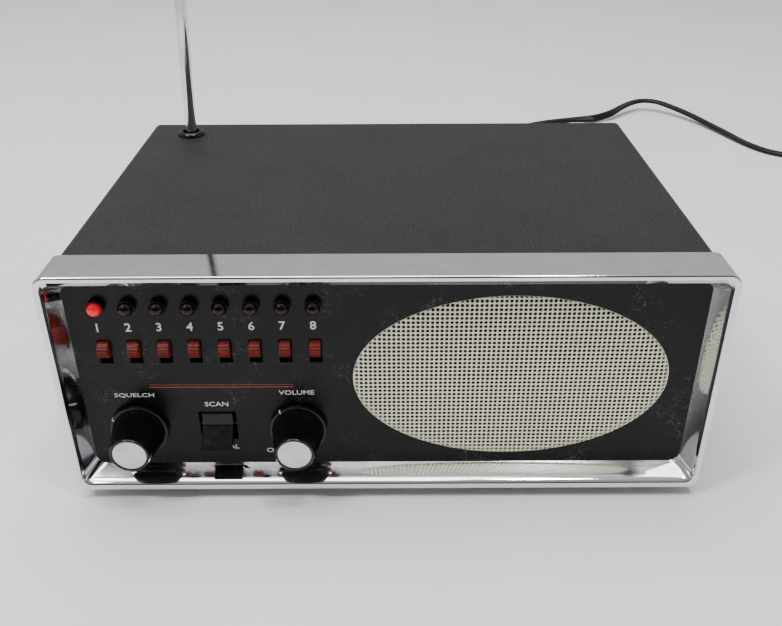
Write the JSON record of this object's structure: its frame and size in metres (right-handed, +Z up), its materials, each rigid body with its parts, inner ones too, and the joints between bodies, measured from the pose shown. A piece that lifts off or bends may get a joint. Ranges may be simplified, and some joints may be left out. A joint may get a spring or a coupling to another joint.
{
  "type": "desktop scanning receiver",
  "caption": "Desktop scanning radio receiver: chromed bezel, recessed black panel with lamps, channel slides, knobs and rocker, oval perforated speaker grille, telescopic antenna, mains cord.",
  "frame": {"origin": "on the standing surface, under the middle of the set's box measured without its free cord", "axes": "+X to the viewer's right along the front, +Y from front to back, +Z up"},
  "size_m": [0.5958, 0.5939, 0.233],
  "materials": {
    "chrome_plate": "bright chromium plate",
    "panel_black": "semi-gloss black enamel",
    "grille_ivory": "satin ivory enamel on perforated steel",
    "cover_vinyl": "black leather-grain vinyl on steel sheet",
    "zinc_steel": "zinc-plated sheet steel",
    "rubber_black": "matt black rubber",
    "screw_steel": "nickel-plated steel",
    "grey_steel": "grey pressed steel",
    "cone_paper": "felted black paper",
    "magnet_ferrite": "dull ferrite and plated steel",
    "board_green": "glass-epoxy board with solder mask",
    "brass": "turned brass",
    "black_moulding": "black phenolic moulding",
    "crystal_can": "tinned steel can",
    "core_steel": "varnished steel laminations",
    "winding_tape": "amber winding tape",
    "capacitor_sleeve": "blue shrunk sleeve",
    "chip_ceramic": "dark ceramic and epoxy",
    "heat_sink_grey": "grey anodised aluminium",
    "lens_lit": "red translucent lens, lit",
    "lens_dark": "red translucent lens, unlit",
    "slide_red": "brick-red nylon",
    "pot_steel": "zinc-plated can",
    "knob_black": "black phenolic, fluted",
    "spun_aluminium": "spun aluminium disc",
    "rocker_black": "glossy black moulding",
    "antenna_chrome": "chromium-plated brass tube",
    "nickel": "nickel-plated brass",
    "cord_pvc": "black flexible PVC"
  },
  "bodies": {
    "case": {"bezel": "chrome_plate", "front_panel": "panel_black", "speaker_grille": "grille_ivory", "cabinet_cover": "cover_vinyl", "chassis_tray": "zinc_steel", "rear_panel": "zinc_steel", "rubber_feet": "rubber_black", "case_screws": "screw_steel", "speaker_frame": "grey_steel", "speaker_cone": "cone_paper", "speaker_magnet": "magnet_ferrite", "panel_fasteners": "screw_steel", "main_board": "board_green", "board_standoffs": "brass", "crystal_sockets": "black_moulding", "crystals": "crystal_can", "transformer_core": "core_steel", "transformer_winding": "winding_tape", "filter_capacitor": "capacitor_sleeve", "if_cans": "crystal_can", "board_parts": "chip_ceramic", "heat_sink": "heat_sink_grey", "channel_board": "board_green", "lamp_collars": "black_moulding", "lamp_lens_1": "lens_lit", "lamp_lenses_2_to_8": "lens_dark", "channel_switch_bodies": "black_moulding", "squelch_pot": "pot_steel", "volume_pot": "pot_steel", "rocker_frame": "rocker_black", "antenna_grommet": "rubber_black", "antenna_socket": "black_moulding", "antenna_section_1": "antenna_chrome", "antenna_jack": "nickel", "speaker_jack": "nickel", "fuse_holder": "black_moulding", "strain_relief": "cord_pvc", "power_cord": "cord_pvc", "cord_coil": "cord_pvc", "plug_body": "cord_pvc", "plug_blades": "brass"},
    "slide_1": {"channel_slide_1": "slide_red"},
    "slide_2": {"channel_slide_2": "slide_red"},
    "slide_3": {"channel_slide_3": "slide_red"},
    "slide_4": {"channel_slide_4": "slide_red"},
    "slide_5": {"channel_slide_5": "slide_red"},
    "slide_6": {"channel_slide_6": "slide_red"},
    "slide_7": {"channel_slide_7": "slide_red"},
    "slide_8": {"channel_slide_8": "slide_red"},
    "squelch": {"squelch_shaft": "screw_steel", "squelch_knob": "knob_black", "squelch_knob_cap": "spun_aluminium"},
    "volume": {"volume_shaft": "screw_steel", "volume_knob": "knob_black", "volume_knob_cap": "spun_aluminium"},
    "rocker": {"rocker_paddle": "rocker_black"},
    "whip_2": {"antenna_section_2": "antenna_chrome"},
    "whip_3": {"antenna_section_3": "antenna_chrome"},
    "whip_4": {"antenna_section_4": "antenna_chrome"}
  },
  "joints": [
    {"name": "channel_1", "type": "slide", "parent": "case", "child": "slide_1", "axis": [0, 0, -1], "range_m": [0, 0.003]},
    {"name": "channel_2", "type": "slide", "parent": "case", "child": "slide_2", "axis": [0, 0, -1], "range_m": [0, 0.003]},
    {"name": "channel_3", "type": "slide", "parent": "case", "child": "slide_3", "axis": [0, 0, -1], "range_m": [0, 0.003]},
    {"name": "channel_4", "type": "slide", "parent": "case", "child": "slide_4", "axis": [0, 0, -1], "range_m": [0, 0.003]},
    {"name": "channel_5", "type": "slide", "parent": "case", "child": "slide_5", "axis": [0, 0, -1], "range_m": [0, 0.003]},
    {"name": "channel_6", "type": "slide", "parent": "case", "child": "slide_6", "axis": [0, 0, -1], "range_m": [0, 0.003]},
    {"name": "channel_7", "type": "slide", "parent": "case", "child": "slide_7", "axis": [0, 0, -1], "range_m": [0, 0.003]},
    {"name": "channel_8", "type": "slide", "parent": "case", "child": "slide_8", "axis": [0, 0, -1], "range_m": [0, 0.003]},
    {"name": "squelch_turn", "type": "hinge", "parent": "case", "child": "squelch", "pos_m": [-0.1083, -0.0845, 0.0327], "axis": [0, 1, 0], "range_deg": [-90, 210]},
    {"name": "volume_turn", "type": "hinge", "parent": "case", "child": "volume", "pos_m": [-0.0391, -0.0845, 0.0327], "axis": [0, 1, 0], "range_deg": [-113, 187]},
    {"name": "scan_manual", "type": "hinge", "parent": "case", "child": "rocker", "pos_m": [-0.0741, -0.0815, 0.03335], "axis": [1, 0, 0], "range_deg": [0, 12]},
    {"name": "antenna_2", "type": "slide", "parent": "case", "child": "whip_2", "axis": [0.0349, 0, 0.9994], "range_m": [0, 0.13]},
    {"name": "antenna_3", "type": "slide", "parent": "whip_2", "child": "whip_3", "axis": [0.0349, 0, 0.9994], "range_m": [0, 0.13]},
    {"name": "antenna_4", "type": "slide", "parent": "whip_3", "child": "whip_4", "axis": [0.0349, 0, 0.9994], "range_m": [0, 0.13]}
  ]
}
